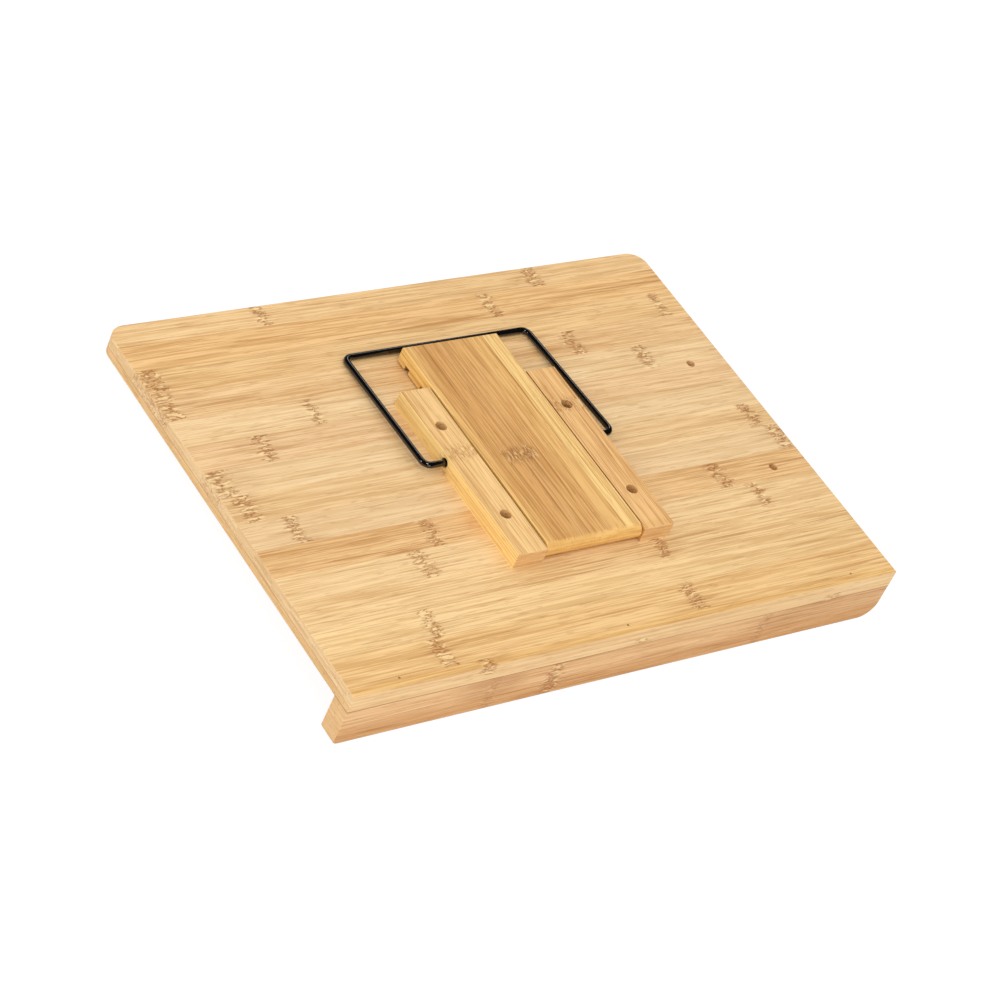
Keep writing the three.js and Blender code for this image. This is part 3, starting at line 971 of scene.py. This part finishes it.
@dataclass
class Ledge:
    """The book ledge: two lamellae under the near edge, held by brads."""

    left_radius: float = 2.5 * MM
    right_radius: float = 10 * MM
    rim: float = 0.6 * MM
    brad_radius: float = 0.5 * MM
    end_tone: Colour = (228, 186, 130)
    brad_hole_radius: float = 0.65 * MM

    def build(self) -> None:
        """Makes and dresses both lamellae and the brads."""
        outer = BambooFinish(
            "outer lamella bamboo", (229, 184, 130), 121.0, contrast=0.9,
            knuckles=(
                Knuckle(-46 * MM, 0.006, 0.0, 1.0, 0.9), Knuckle(-83 * MM, 0.004, 0.0, 1.0, 0.35),
                Knuckle(87 * MM, 0.004, 0.0, 1.0, 0.4),
            ),
            edges=self._end_tones("ledge_outer_lamella", (
                (0, 0.305, (215, 168, 115), 75 * MM), (0, 0.087, (214, 166, 114), 24 * MM),
                # The last tone, a thin dark brown line along the bottom edge, is painted shade where the ledge meets
                # the floor.
                (2, 0.0, (212, 160, 102), 13 * MM), (2, 0.0, (150, 98, 56), 0.6 * MM),
            )),
        )
        inner = BambooFinish(
            "inner lamella bamboo", (229, 186, 134), 133.0,
            knuckles=(Knuckle(30 * MM), Knuckle(-120 * MM)), edges=self._end_tones("ledge_inner_lamella", ()),
        )
        self._lamella("ledge_outer_lamella", outer, faces_near=True)
        self._lamella("ledge_inner_lamella", inner, faces_near=False)
        steel = SteelFinish("brad steel", (74, 72, 70), (34, 32, 30), 8.0).material()
        for number in (1, 2, 3):
            self._brad(f"ledge_brad_{number}", steel)

    def _end_tones(
        self, node: str, lower: Sequence[tuple[int, float, Colour, float]]
    ) -> tuple[EdgeTone, ...]:
        """The paler sawn ends of a lamella, over the tones towards its free edge.

        Args:
            node: The node that the lamella stands for.
            lower: Axis, rise from the lowest corner, tone and depth of the other tones.

        Returns:
            All the tones, the ends last.
        """
        low, high = node_box(node)
        tones = tuple(EdgeTone(axis, low[axis] + rise, tone, depth) for axis, rise, tone, depth in lower)
        return tones + tuple(EdgeTone(0, level, self.end_tone, is_end=True) for level in (low.x, high.x))

    def _lamella(self, node: str, finish: BambooFinish, faces_near: bool) -> None:
        """Makes one lamella.

        Args:
            node: The node that it stands for.
            finish: Its finish.
            faces_near: Whether its outer face is the near one.
        """
        low, high = node_box(node)
        stock = Workpiece.block(low, high)
        for side, radius in ((-1, self.left_radius), (1, self.right_radius)):
            stock.ease(
                lambda p, s=side: p.z < low.z + HAIR and abs(p.x - s * high.x) < HAIR, radius, 12,
            )
        face = low.y if faces_near else high.y
        self._ease_free_rim(stock, face, high.z)
        bits = []
        if faces_near:
            for number in (1, 2, 3):
                brad = f"ledge_brad_{number}"
                middle = middle_of(brad)
                depth = high.z - node_box(brad)[0].z + 0.5 * MM
                hole = Drill(self.brad_hole_radius, depth, 0.0)
                bits.append(hole.at(Vector((middle.x, middle.y, high.z)), Vector((0, 0, -1)), 12))
        made = drill(stock.to_object(f"{node}_bamboo"), bits)
        finish_shading(made)
        fit(made, "board", node, finish.material())

    def _ease_free_rim(self, stock: Workpiece, face: float, top: float) -> None:
        """Rounds the outline of a lamella's face, apart from its glued top edge.

        Args:
            stock: The lamella.
            face: Y of the face.
            top: Z of the glued top edge.
        """
        bm = stock.bm
        rim = [
            e for e in bm.edges
            if all(abs(v.co.y - face) < HAIR for v in e.verts)
            and not all(v.co.z > top - HAIR for v in e.verts)
        ]
        round_edges(bm, rim, self.rim)

    def _brad(self, node: str, steel: bpy.types.Material) -> None:
        """Makes one headless brad, with its point down.

        Args:
            node: The node that it stands for.
            steel: Its finish.
        """
        low, high = node_box(node)
        length, r = high.z - low.z, self.brad_radius * 0.96
        brad = Workpiece.turned([
            (0.0, 0.0), (r * 0.9, 1.6 * MM), (r, 2.0 * MM), (r, length - 0.9 * MM), (r * 0.86, length - 0.7 * MM),
            (r, length - 0.45 * MM), (r, length - 0.1 * MM), (r * 0.8, length), (0.0, length - 0.05 * MM),
        ], 16)
        brad.place(Matrix.Translation(((low.x + high.x) / 2, (low.y + high.y) / 2, low.z)))
        made = brad.to_object(f"{node}_steel")
        finish_shading(made)
        fit(made, "board", node, steel)


# ---------------------------------------------------------------- the support


@dataclass
class Rails:
    """The two rails that are screwed to the back and carry the foot and the bail."""

    edge: float = 0.5 * MM
    counterbore_radius: float = 3.1 * MM
    counterbore_depth: float = 6.2 * MM
    screw_hole_radius: float = 1.8 * MM
    pin_hole_radius: float = 2.25 * MM
    pin_hole_depth: float = 9 * MM
    bail_hole_radius: float = 2.5 * MM
    bail_hole_depth: float = 9 * MM

    def build(self) -> None:
        """Makes and dresses both rails."""
        (left_low, left_high), (right_low, right_high) = node_box("rail_left"), node_box("rail_right")
        near = left_low.y
        end = EdgeTone(1, near, (228, 183, 124), is_end=True)
        # Painted shade: a darker brown on the inner faces of both rails, standing in for the shadow in the narrow
        # gaps beside the foot.
        painted_gap_shade_tone = (148, 100, 56)
        left_tone, right_tone = (235, 192, 127), (230, 181, 116)
        left = BambooFinish(
            "left rail bamboo", left_tone, 151.0, Grain.ALONG_RAILS,
            knuckles=(Knuckle(near + 70 * MM, 0.005, 0.0, 1.0, 0.5),), contrast=1.3,
            edges=(
                EdgeTone(0, left_high.x, painted_gap_shade_tone, 0.4 * MM), EdgeTone(1, near, left_tone, 6 * MM),
                # The pale yellow on the outer side at left_low.x is painted light, standing in for the light that
                # falls on that side.
                EdgeTone(0, left_low.x, (253, 215, 138), 0.7 * MM, is_end=True), end,
            ),
        )
        right = BambooFinish(
            "right rail bamboo", right_tone, 163.0, Grain.ALONG_RAILS,
            knuckles=(Knuckle(near + 88 * MM, 0.006, 0.0, 1.0, 0.6),), contrast=1.5,
            edges=(
                EdgeTone(0, right_low.x, painted_gap_shade_tone, 0.4 * MM), EdgeTone(1, near, (226, 176, 110), 7 * MM),
                EdgeTone(0, right_high.x, (240, 192, 118), 0.5 * MM), end,
            ),
        )
        self._rail("rail_left", -1, (1, 2), "foot_pin_left", left)
        self._rail("rail_right", 1, (3, 4), "foot_pin_right", right)

    def _rail(
        self, node: str, side: int, screws: tuple[int, int], pin: str, finish: BambooFinish
    ) -> None:
        """Makes one rail.

        Args:
            node: The node that it stands for.
            side: -1 for the left rail and 1 for the right one.
            screws: Numbers of its screws.
            pin: The hinge pin that turns in it.
            finish: Its finish.
        """
        low, high = node_box(node)
        stock = Workpiece.block(low, high)
        upper = [e for e in stock.bm.edges if max(v.co.z for v in e.verts) > low.z + HAIR]
        round_edges(stock.bm, upper, self.edge)
        bits = []
        for number in screws:
            middle = middle_of(f"rail_screw_{number}")
            bits.append(self._stepped(Vector((middle.x, middle.y, high.z)), high.z - low.z))
        inner, outer = (low.x, high.x) if side > 0 else (high.x, low.x)
        middle = middle_of(pin)
        bits.append(Drill(self.pin_hole_radius, self.pin_hole_depth, 0.15 * MM).at(
            Vector((inner, middle.y, middle.z)), Vector((side, 0, 0)), 28,
        ))
        pivot = joint_pivot("bail_hinge")
        bits.append(Drill(self.bail_hole_radius, self.bail_hole_depth, 0.15 * MM, 0.8 * MM).at(
            Vector((outer, pivot.y, pivot.z)), Vector((-side, 0, 0)), 32,
        ))
        made = drill(stock.to_object(f"{node}_bamboo"), bits)
        finish_shading(made)
        fit(made, "board", node, finish.material())

    def _stepped(self, mouth: Vector, height: float) -> Workpiece:
        """The cutter of a counterbored screw hole.

        Args:
            mouth: Middle of the hole on the rail's top.
            height: Height of the rail.

        Returns:
            The cutter in its place.
        """
        big, small, deep = self.counterbore_radius, self.screw_hole_radius, self.counterbore_depth
        cutter = Workpiece.turned([
            (0.0, -1 * MM), (big + 1.2 * MM, -1 * MM), (big + 0.2 * MM, 0.0), (big, 0.2 * MM),
            (big, deep), (small, deep), (small, height + 1 * MM), (0.0, height + 1 * MM),
        ], 40)
        flip = Matrix.Rotation(math.pi, 4, "X")
        return cutter.place(Matrix.Translation(mouth) @ flip)


@dataclass
class Fixings:
    """The screws in the rails and the hidden hinge pins of the foot."""

    head_radius: float = 2.7 * MM
    head_height: float = 1.9 * MM
    shank_radius: float = 1.5 * MM
    recess: float = 3.0 * MM

    def build(self) -> None:
        """Makes and dresses the screws and pins."""
        dark = SteelFinish("blackened screw steel", (62, 58, 54), (30, 28, 26), 21.0).material()
        for number in (1, 2, 3, 4):
            self._screw(f"rail_screw_{number}", dark, 31.0 * number)
        bright = SteelFinish("pin steel", (176, 175, 170), (120, 118, 112), 15.0).material()
        for node in ("foot_pin_left", "foot_pin_right"):
            self._pin(node, bright)

    def _screw(self, node: str, steel: bpy.types.Material, turn: float) -> None:
        """Makes one pan-headed wood screw.

        Args:
            node: The node that it stands for.
            steel: Its finish.
            turn: How far it is driven round, in degrees.
        """
        low, high = node_box(node)
        length, head, r = high.z - low.z, self.head_height, self.shank_radius
        root, crest = 0.72 * r, r
        profile = [(0.0, 0.0), (0.3 * MM, 0.6 * MM)]
        height, pitch = 1.2 * MM, 1.1 * MM
        while height < length - head - 3.5 * MM:
            grown = min(1.0, height / (2.6 * MM))
            profile += [
                (root * grown, height), (crest * grown, height + 0.45 * pitch),
                (root * grown, height + 0.6 * pitch),
            ]
            height += pitch
        under = length - head
        big = self.head_radius
        profile += [
            (r * 0.9, under - 3.2 * MM), (r * 0.9, under), (big * 0.96, under), (big, under + 0.15 * MM),
            (big, under + 0.9 * MM), (big * 0.93, under + 1.3 * MM), (big * 0.75, length - 0.15 * MM),
            (big * 0.5, length), (0.0, length),
        ]
        screw = Workpiece.turned(profile, 36).to_object(f"{node}_steel")
        arm, half, floor = self.recess / 2, 0.35 * MM, length - 1.1 * MM
        arms = [
            Workpiece.block(Vector((-a, -b, floor)), Vector((a, b, length + 1 * MM)))
            for a, b in ((arm, half), (half, arm))
        ]
        drill(screw, arms)
        place = Matrix.Translation(((low.x + high.x) / 2, (low.y + high.y) / 2, low.z))
        screw.data.transform(place @ Matrix.Rotation(math.radians(turn), 4, "Z"))
        finish_shading(screw)
        fit(screw, "board", node, steel)

    def _pin(self, node: str, steel: bpy.types.Material) -> None:
        """Makes one hinge pin with chamfered ends.

        Args:
            node: The node that it stands for.
            steel: Its finish.
        """
        low, high = node_box(node)
        middle = (low + high) / 2
        length, r, chamfer = high.x - low.x, (high.z - low.z) / 2, 0.4 * MM
        pin = Workpiece.turned([
            (0.0, 0.0), (r - chamfer, 0.0), (r, chamfer), (r, length - chamfer), (r - chamfer, length), (0.0, length),
        ], 32)
        lay = Matrix.Rotation(math.pi / 2, 4, "Y")
        made = pin.place(Matrix.Translation((low.x, middle.y, middle.z)) @ lay).to_object(f"{node}_steel")
        finish_shading(made)
        fit(made, "foot", node, steel)


@dataclass
class Foot:
    """The hinged foot: a plate with a full-round hinge end and saw grooves under it."""

    end_ease: float = 1 * MM
    rim: float = 0.5 * MM
    groove_count: int = 5
    groove_from_end: float = 8.85 * MM
    groove_pitch: float = 14.95 * MM
    groove_width: float = 3.9 * MM
    groove_depth: float = 3.1 * MM
    pin_hole_radius: float = 2.1 * MM

    def build(self) -> None:
        """Makes and dresses the foot."""
        node = "foot_plate"
        low, high = node_box(node)
        plate = Workpiece.block(low, high)
        half = (high.z - low.z) / 2
        for level, offset, segments in ((low.y, half * 0.998, 16), (high.y, self.end_ease, 4)):
            ends = [e for e in plate.bm.edges if self._lies(e, 1, level) and self._runs(e, 0)]
            round_edges(plate.bm, ends, offset, segments)
        flanks = [e for e in plate.bm.edges if self._lies(e, 0, low.x) or self._lies(e, 0, high.x)]
        round_edges(plate.bm, flanks, self.rim)
        bits = []
        for number in range(self.groove_count):
            y = high.y - self.groove_from_end - number * self.groove_pitch
            a = Vector((low.x - 1 * MM, y - self.groove_width / 2, low.z - 1 * MM))
            b = Vector((high.x + 1 * MM, y + self.groove_width / 2, low.z + self.groove_depth))
            bits.append(Workpiece.block(a, b))
        for pin, side in (("foot_pin_left", -1), ("foot_pin_right", 1)):
            pin_low, pin_high = node_box(pin)
            middle = (pin_low + pin_high) / 2
            face = low.x if side < 0 else high.x
            root = pin_high.x if side < 0 else pin_low.x
            depth = abs(root - face) + 0.5 * MM
            bits.append(Drill(self.pin_hole_radius, depth, 0.15 * MM).at(
                Vector((face, middle.y, middle.z)), Vector((-side, 0, 0)), 28,
            ))
        made = drill(plate.to_object("foot_plate_bamboo"), bits)
        finish_shading(made)
        fit(made, "foot", node, self._finish(low, high).material())

    @staticmethod
    def _lies(edge: bmesh.types.BMEdge, axis: int, level: float) -> bool:
        """Whether both ends of an edge lie at one level of an axis."""
        return all(abs(v.co[axis] - level) < HAIR for v in edge.verts)

    @staticmethod
    def _runs(edge: bmesh.types.BMEdge, axis: int) -> bool:
        """Whether an edge runs along an axis."""
        a, b = (v.co for v in edge.verts)
        return abs((b - a).normalized()[axis]) > 0.999

    @staticmethod
    def _finish(low: Vector, high: Vector) -> BambooFinish:
        """The golden bamboo of the foot, glued up from narrow strips on edge."""
        return BambooFinish(
            "foot bamboo", (217, 168, 103), 181.0, Grain.ALONG_RAILS,
            knuckles=(
                Knuckle(low.y + 60.7 * MM, 0.0055, -(low.x + 21.5 * MM), 0.0125, 1.0),
            ),
            strips=(
                Strip(5.6 * MM, (226, 176, 104)), Strip(6.0 * MM, (216, 164, 94)),
                Strip(8.5 * MM, (212, 158, 90)), Strip(7.0 * MM, (213, 161, 94)),
                Strip(13.5 * MM, (222, 171, 102)), Strip(9.0 * MM, (225, 176, 104)),
                Strip(10.0 * MM, (238, 197, 124)),
            ),
            strips_from=low.x, contrast=1.25, brown=(146, 90, 42), cream=(236, 198, 138),
            edges=(
                EdgeTone(1, low.y, (231, 182, 104), 4.2 * MM, is_end=True),
                # The paler yellow on both flanks is painted bounce light from the board.
                EdgeTone(0, low.x, (240, 194, 112), 0.5 * MM), EdgeTone(0, high.x, (240, 194, 112), 0.5 * MM),
            ),
        )


@dataclass
class Bail:
    """The black wire bail, whose legs turn in the outer sides of the rails."""

    wire_radius: float = 1.7 * MM
    taper: float = 1.1 * MM
    bend_radius: float = 4 * MM
    leg_in_rail: float = 7 * MM
    end_round: float = 0.4 * MM

    def build(self) -> None:
        """Bends, places and dresses the wire."""
        node = "wire_bail"
        low, high = node_box(node)
        pivot = joint_pivot("bail_hinge")
        radius = self.wire_radius
        half = (high.x - low.x) / 2 - radius
        drop = pivot.z - (low.z + radius)
        reach = high.y - radius - pivot.y
        length = math.hypot(reach, drop)
        rail_half = (node_box("rail_right")[1].x - node_box("rail_left")[0].x) / 2
        corners = [
            Vector((-(rail_half - self.leg_in_rail), 0, 0)), Vector((-half, 0, 0)),
            Vector((-half + self.taper, length, 0)), Vector((half - self.taper, length, 0)),
            Vector((half, 0, 0)), Vector((rail_half - self.leg_in_rail, 0, 0)),
        ]
        wire = self._bent(corners)
        tilt = Matrix.Rotation(-math.asin(drop / length), 4, "X")
        made = wire.place(Matrix.Translation(pivot) @ tilt).to_object("wire_bail_painted")
        finish_shading(made, 50.0)
        fit(made, "bail", node, GlossPaint("gloss black wire paint", (5, 4, 4)).material())

    def _bent(self, corners: Sequence[Vector]) -> Workpiece:
        """Bends a wire through the given corners, all in the XY plane.

        Args:
            corners: The ends and bends of the wire's middle line.

        Returns:
            The closed wire.
        """
        wire = Workpiece()
        bm = wire.bm
        heading = (corners[1] - corners[0]).normalized()
        turned = Vector((0, 0, 1)).rotation_difference(heading).to_matrix().to_4x4()
        face_on = Matrix.Translation(corners[0]) @ turned
        bmesh.ops.create_circle(bm, cap_ends=False, radius=self.wire_radius, segments=28, matrix=face_on)
        ring = list(bm.edges)
        first = list(ring)
        here = corners[0].copy()
        for corner, after in zip(corners[1:], corners[2:]):
            onward = (after - corner).normalized()
            turn = heading.angle(onward)
            back = self.bend_radius * math.tan(turn / 2)
            start = corner - heading * back
            ring = self._run(bm, ring, start - here)
            side = math.copysign(1.0, heading.cross(onward).z)
            centre = start + Matrix.Rotation(side * math.pi / 2, 3, "Z") @ heading * self.bend_radius
            spun = bmesh.ops.spin(
                bm, geom=[*{v for e in ring for v in e.verts}, *ring], cent=centre, axis=(0, 0, side),
                dvec=(0, 0, 0), angle=turn, steps=12, use_merge=False, use_duplicate=False,
            )
            ring = [e for e in spun["geom_last"] if isinstance(e, bmesh.types.BMEdge)]
            here, heading = corner + onward * back, onward
        ring = self._run(bm, ring, corners[-1] - here)
        for rim in (first, ring):
            cap = bmesh.ops.edgeloop_fill(bm, edges=rim)["faces"]
            round_edges(bm, [e for f in cap for e in f.edges], self.end_round)
        bmesh.ops.recalc_face_normals(bm, faces=bm.faces[:])
        return wire

    @staticmethod
    def _run(
        bm: bmesh.types.BMesh, ring: list[bmesh.types.BMEdge], step: Vector
    ) -> list[bmesh.types.BMEdge]:
        """Draws the wire straight on.

        Args:
            bm: The wire.
            ring: The rim at its end.
            step: How far and which way it goes.

        Returns:
            The rim at its new end.
        """
        drawn = bmesh.ops.extrude_edge_only(bm, edges=ring)["geom"]
        bmesh.ops.translate(bm, vec=step, verts=[v for v in drawn if isinstance(v, bmesh.types.BMVert)])
        return [
            e for e in drawn
            if isinstance(e, bmesh.types.BMEdge) and all(v in drawn for v in e.verts)
        ]


# ------------------------------------------------------------------ the studio


@dataclass
class Studio:
    """A white floor under the resting stand, soft light and the camera."""

    azimuth: float = -49.8
    elevation: float = 39.08
    roll: float = 25.685
    distance: float = 1.60972
    lens: float = 118.07
    aim: tuple[float, float] = (-24.9 * MM, 95.62 * MM)

    def build(self) -> None:
        """Sets up everything that isn't part of the stand."""
        self._camera()
        self._floor()
        self._world()
        self._lamp("key softbox", (-0.5, -0.7, 1.7), 0.5, 7.5)
        self._lamp("side softbox", (-1.7, 0.5, 0.9), 0.5, 5.0)
        self._lamp("front fill", (-0.5, -1.7, 0.45), 0.7, 4.0)
        self._lamp("far softbox", (0.9, 1.2, 1.3), 0.5, 2.0)
        scene = bpy.context.scene
        scene.view_settings.view_transform = "Standard"
        scene.view_settings.look = "None"

    def _camera(self) -> None:
        """Aims the camera at the back of the board from beyond its near left corner."""
        a, e, r = (math.radians(v) for v in (self.azimuth, self.elevation, self.roll))
        back = Vector((math.sin(a) * math.cos(e), -math.cos(a) * math.cos(e), math.sin(e)))
        level = Vector((math.cos(a), math.sin(a), 0.0))
        rise = back.cross(level)
        right = level * math.cos(r) + rise * math.sin(r)
        up = rise * math.cos(r) - level * math.sin(r)
        near, top = node_box("back_stave_01")
        aim = Vector((self.aim[0], near.y + self.aim[1], top.z))
        matrix = Matrix((right, up, back)).transposed().to_4x4()
        matrix.translation = aim + back * self.distance
        data = bpy.data.cameras.new("studio_camera")
        data.lens, data.sensor_width = self.lens, 36.0
        data.clip_start, data.clip_end = 0.05, 50.0
        camera = bpy.data.objects.new("studio_camera", data)
        camera.matrix_world = matrix
        bpy.context.scene.collection.objects.link(camera)
        bpy.context.scene.camera = camera

    def _floor(self) -> None:
        """Lays the floor under the two edges that the folded stand rests on."""
        ledge_low, ledge_high = node_box("ledge_inner_lamella")
        board_low, board_high = node_box("front_stave_15")
        slope = math.atan2(board_low.z - ledge_low.z, board_high.y - ledge_high.y)
        bm = bmesh.new()
        bmesh.ops.create_grid(bm, x_segments=1, y_segments=1, size=4.0)
        place = Matrix.Translation((0, ledge_high.y, ledge_low.z - 0.05 * MM)) @ Matrix.Rotation(slope, 4, "X")
        bmesh.ops.transform(bm, matrix=place, verts=bm.verts[:])
        mesh = bpy.data.meshes.new("studio_floor")
        bm.to_mesh(mesh)
        bm.free()
        floor = bpy.data.objects.new("studio_floor", mesh)
        bpy.context.scene.collection.objects.link(floor)
        material, w, surface, place_socket = new_material("pale studio floor")
        surface.inputs["Roughness"].default_value = 0.9
        surface.inputs["Specular IOR Level"].default_value = 0.1
        grainy = w.noise(w.stretch(place_socket, (30, 30, 30)), 1.0, 2.0)
        w.plug(surface.inputs["Base Color"], w.blend(grainy, (0.84, 0.84, 0.84, 1), (0.87, 0.87, 0.87, 1)))
        glow = w.add("ShaderNodeEmission")
        glow.inputs["Color"].default_value = (1.0, 1.0, 1.0, 1.0)
        glow.inputs["Strength"].default_value = 1.1
        seen = w.add("ShaderNodeMixShader")
        w.plug(seen.inputs[0], w.sum("MULTIPLY", w.add("ShaderNodeLightPath").outputs["Is Camera Ray"], 0.85))
        w.plug(seen.inputs[1], surface.outputs[0])
        w.plug(seen.inputs[2], glow.outputs[0])
        under = w.add("ShaderNodeNewGeometry").outputs["Backfacing"]
        mix = w.add("ShaderNodeMixShader")
        w.plug(mix.inputs[0], under)
        w.plug(mix.inputs[1], seen.outputs[0])
        w.plug(mix.inputs[2], w.add("ShaderNodeBsdfTransparent").outputs[0])
        w.plug(material.node_tree.nodes["Material Output"].inputs["Surface"], mix.outputs[0])
        floor.data.materials.append(material)

    @staticmethod
    def _world() -> None:
        """Surrounds the stage with soft white light."""
        world = bpy.data.worlds.new("white studio")
        bpy.context.scene.world = world
        world.use_nodes = True
        w = Wiring(world.node_tree)
        background = world.node_tree.nodes["Background"]
        background.inputs["Color"].default_value = (1.0, 1.0, 1.0, 1.0)
        path = w.add("ShaderNodeLightPath").outputs
        w.plug(background.inputs["Strength"], w.sum(
            "SUBTRACT", 0.82, w.sum("MULTIPLY", path["Is Glossy Ray"], 0.79),
        ))
        seen = w.add("ShaderNodeBackground")
        seen.inputs["Color"].default_value = (1.0, 1.0, 1.0, 1.0)
        seen.inputs["Strength"].default_value = 1.0
        mix = w.add("ShaderNodeMixShader")
        w.plug(mix.inputs[0], path["Is Camera Ray"])
        w.plug(mix.inputs[1], background.outputs[0])
        w.plug(mix.inputs[2], seen.outputs[0])
        w.plug(world.node_tree.nodes["World Output"].inputs["Surface"], mix.outputs[0])

    @staticmethod
    def _lamp(name: str, at: tuple[float, float, float], size: float, power: float) -> None:
        """Hangs one softbox that faces the stand.

        Args:
            name: The lamp's name.
            at: Its place in metres.
            size: Side of its square.
            power: Its power in watts.
        """
        data = bpy.data.lights.new(name, "AREA")
        data.shape, data.size, data.energy = "SQUARE", size, power
        lamp = bpy.data.objects.new(name, data)
        lamp.matrix_world = Matrix.Translation(at) @ Vector(at).to_track_quat("Z", "Y").to_matrix().to_4x4()
        bpy.context.scene.collection.objects.link(lamp)


def main() -> None:
    """Builds the stand from the board up, then the studio."""
    logging.basicConfig(level=logging.INFO, format="%(name)s: %(message)s")
    Shared.build()
    for part in (BoardPanel(), Ledge(), Rails(), Fixings(), Foot(), Bail(), Studio()):
        LOG.info("building %s", type(part).__name__)
        part.build()


if __name__ == "__main__":
    main()
